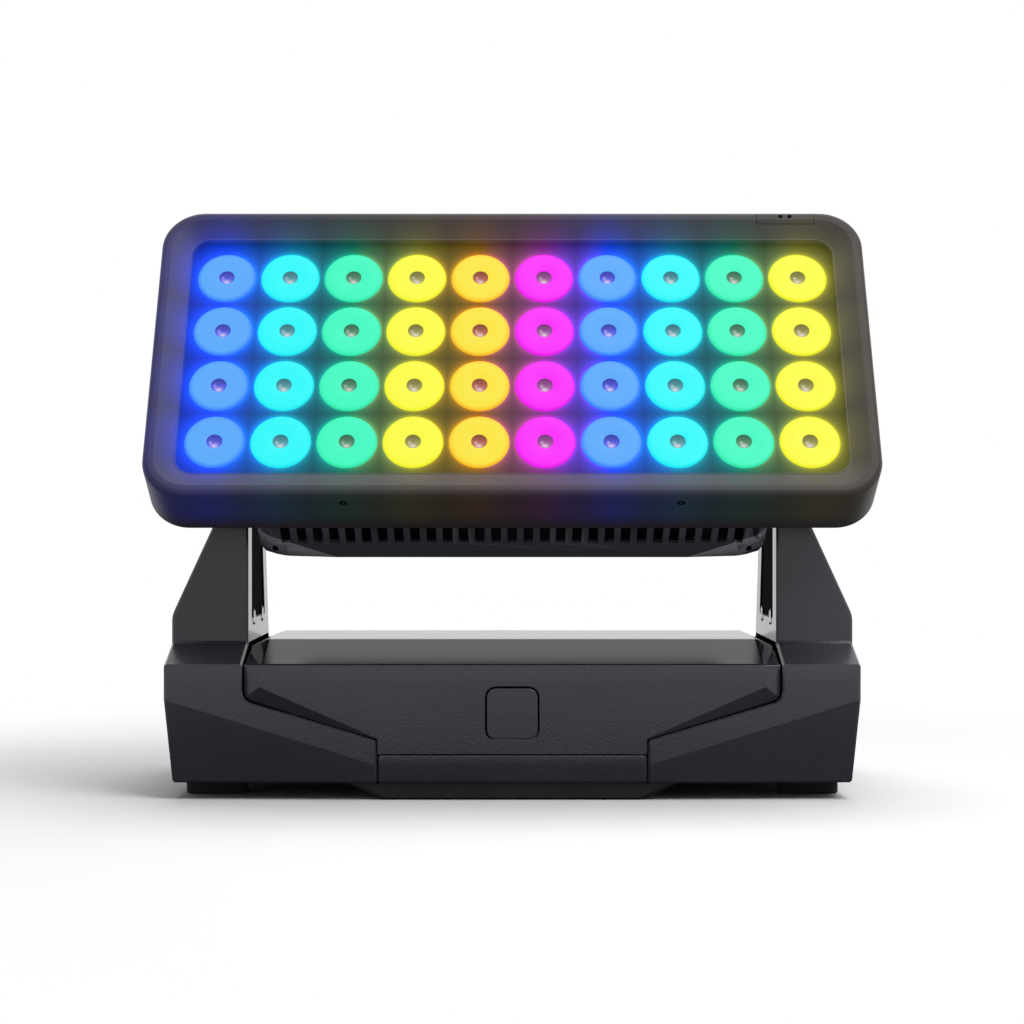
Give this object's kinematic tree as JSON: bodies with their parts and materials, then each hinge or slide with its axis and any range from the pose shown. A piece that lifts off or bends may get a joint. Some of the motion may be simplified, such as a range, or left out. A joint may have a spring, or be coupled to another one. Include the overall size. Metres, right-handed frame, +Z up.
{
  "type": "led wash light",
  "caption": "Stage wash light: a flat head full of round lenses tilts between the two arms of a wide, low floor base with a motor drive, rear sockets and a menu.",
  "frame": {"origin": "on the floor under the middle of the base; the plate under the base is 1.5 mm above it", "axes": "+Z up, +X to the right seen from the front, -Y to the front, the side that the lenses face"},
  "size_m": [0.608, 0.3573, 0.505],
  "materials": {
    "moulded_charcoal": "fine moulded grain",
    "satin_charcoal": "satin paint",
    "painted_casting": "satin paint",
    "bare_aluminium": "as machined",
    "plated_steel": "bright plating",
    "black_rubber": "matt",
    "matt_black": "matt",
    "board_laminate": "solder mask",
    "tinted_window": "gloss",
    "lens_deep_blue": "clear moulding lit blue",
    "lens_cyan": "clear moulding lit cyan",
    "lens_green": "clear moulding lit green",
    "lens_yellow": "clear moulding lit yellow",
    "lens_amber": "clear moulding lit amber",
    "lens_magenta": "clear moulding lit magenta"
  },
  "bodies": {
    "base": {"left_side_shell": "moulded_charcoal", "right_side_shell": "moulded_charcoal", "top_cover": "moulded_charcoal", "front_panel": "moulded_charcoal", "front_pad": "moulded_charcoal", "lower_front_panel": "moulded_charcoal", "rear_panel": "moulded_charcoal", "left_arm_cover": "satin_charcoal", "right_arm_cover": "satin_charcoal", "base_pan": "painted_casting", "bottom_plate": "painted_casting", "tilt_motor": "painted_casting", "power_supply": "bare_aluminium", "motor_bracket": "plated_steel", "left_bearing": "plated_steel", "right_bearing": "plated_steel", "safety_eye": "plated_steel", "front_left_foot": "black_rubber", "front_right_foot": "black_rubber", "rear_left_foot": "black_rubber", "rear_right_foot": "black_rubber", "tilt_belt": "black_rubber", "power_inlet": "matt_black", "power_outlet": "matt_black", "data_inlet": "matt_black", "data_outlet": "matt_black", "control_board": "board_laminate", "display_window": "tinted_window"},
    "head": {"front_frame": "satin_charcoal", "sensor_cover": "moulded_charcoal", "head_casing": "moulded_charcoal", "rear_cover": "moulded_charcoal", "lens_plate": "matt_black", "left_fan_frame": "matt_black", "right_fan_frame": "matt_black", "led_board": "board_laminate", "heat_sink": "bare_aluminium", "left_trunnion": "bare_aluminium", "right_trunnion": "bare_aluminium", "head_pulley": "bare_aluminium", "head_gasket": "black_rubber", "head_chassis": "painted_casting", "lens_column_01": "lens_deep_blue", "lens_column_07": "lens_deep_blue", "lens_column_02": "lens_cyan", "lens_column_08": "lens_cyan", "lens_column_03": "lens_green", "lens_column_09": "lens_green", "lens_column_04": "lens_yellow", "lens_column_10": "lens_yellow", "lens_column_05": "lens_amber", "lens_column_06": "lens_magenta"},
    "left_rotor": {"left_fan_rotor": "matt_black"},
    "right_rotor": {"right_fan_rotor": "matt_black"},
    "motor_shaft": {"motor_pulley": "plated_steel"},
    "button_1": {"menu_button_1": "black_rubber"},
    "button_2": {"menu_button_2": "black_rubber"},
    "button_3": {"menu_button_3": "black_rubber"},
    "button_4": {"menu_button_4": "black_rubber"}
  },
  "joints": [
    {"name": "head_tilt", "type": "hinge", "parent": "base", "child": "head", "pos_m": [0, -0.028, 0.3242], "axis": [-1, 0, 0], "range_deg": [-30, 130]},
    {"name": "motor_turn", "type": "hinge", "parent": "base", "child": "motor_shaft", "pos_m": [0.242, -0.028, 0.075], "axis": [-1, 0, 0], "range_deg": [-120, 520]},
    {"name": "left_fan_spin", "type": "hinge", "parent": "head", "child": "left_rotor", "pos_m": [-0.1, 0.01685, 0.29789], "axis": [0, 0.8625, -0.506], "continuous": true},
    {"name": "right_fan_spin", "type": "hinge", "parent": "head", "child": "right_rotor", "pos_m": [0.1, 0.01685, 0.29789], "axis": [0, 0.8625, -0.506], "continuous": true},
    {"name": "press_button_1", "type": "slide", "parent": "base", "child": "button_1", "axis": [0, -1, 0], "range_m": [0, 0.0012], "stiffness_N_per_m": 250, "springref_m": -0.001},
    {"name": "press_button_2", "type": "slide", "parent": "base", "child": "button_2", "axis": [0, -1, 0], "range_m": [0, 0.0012], "stiffness_N_per_m": 250, "springref_m": -0.001},
    {"name": "press_button_3", "type": "slide", "parent": "base", "child": "button_3", "axis": [0, -1, 0], "range_m": [0, 0.0012], "stiffness_N_per_m": 250, "springref_m": -0.001},
    {"name": "press_button_4", "type": "slide", "parent": "base", "child": "button_4", "axis": [0, -1, 0], "range_m": [0, 0.0012], "stiffness_N_per_m": 250, "springref_m": -0.001}
  ],
  "couplings": [
    {"joint": "motor_turn", "follows": "head_tilt", "ratio": 4}
  ]
}
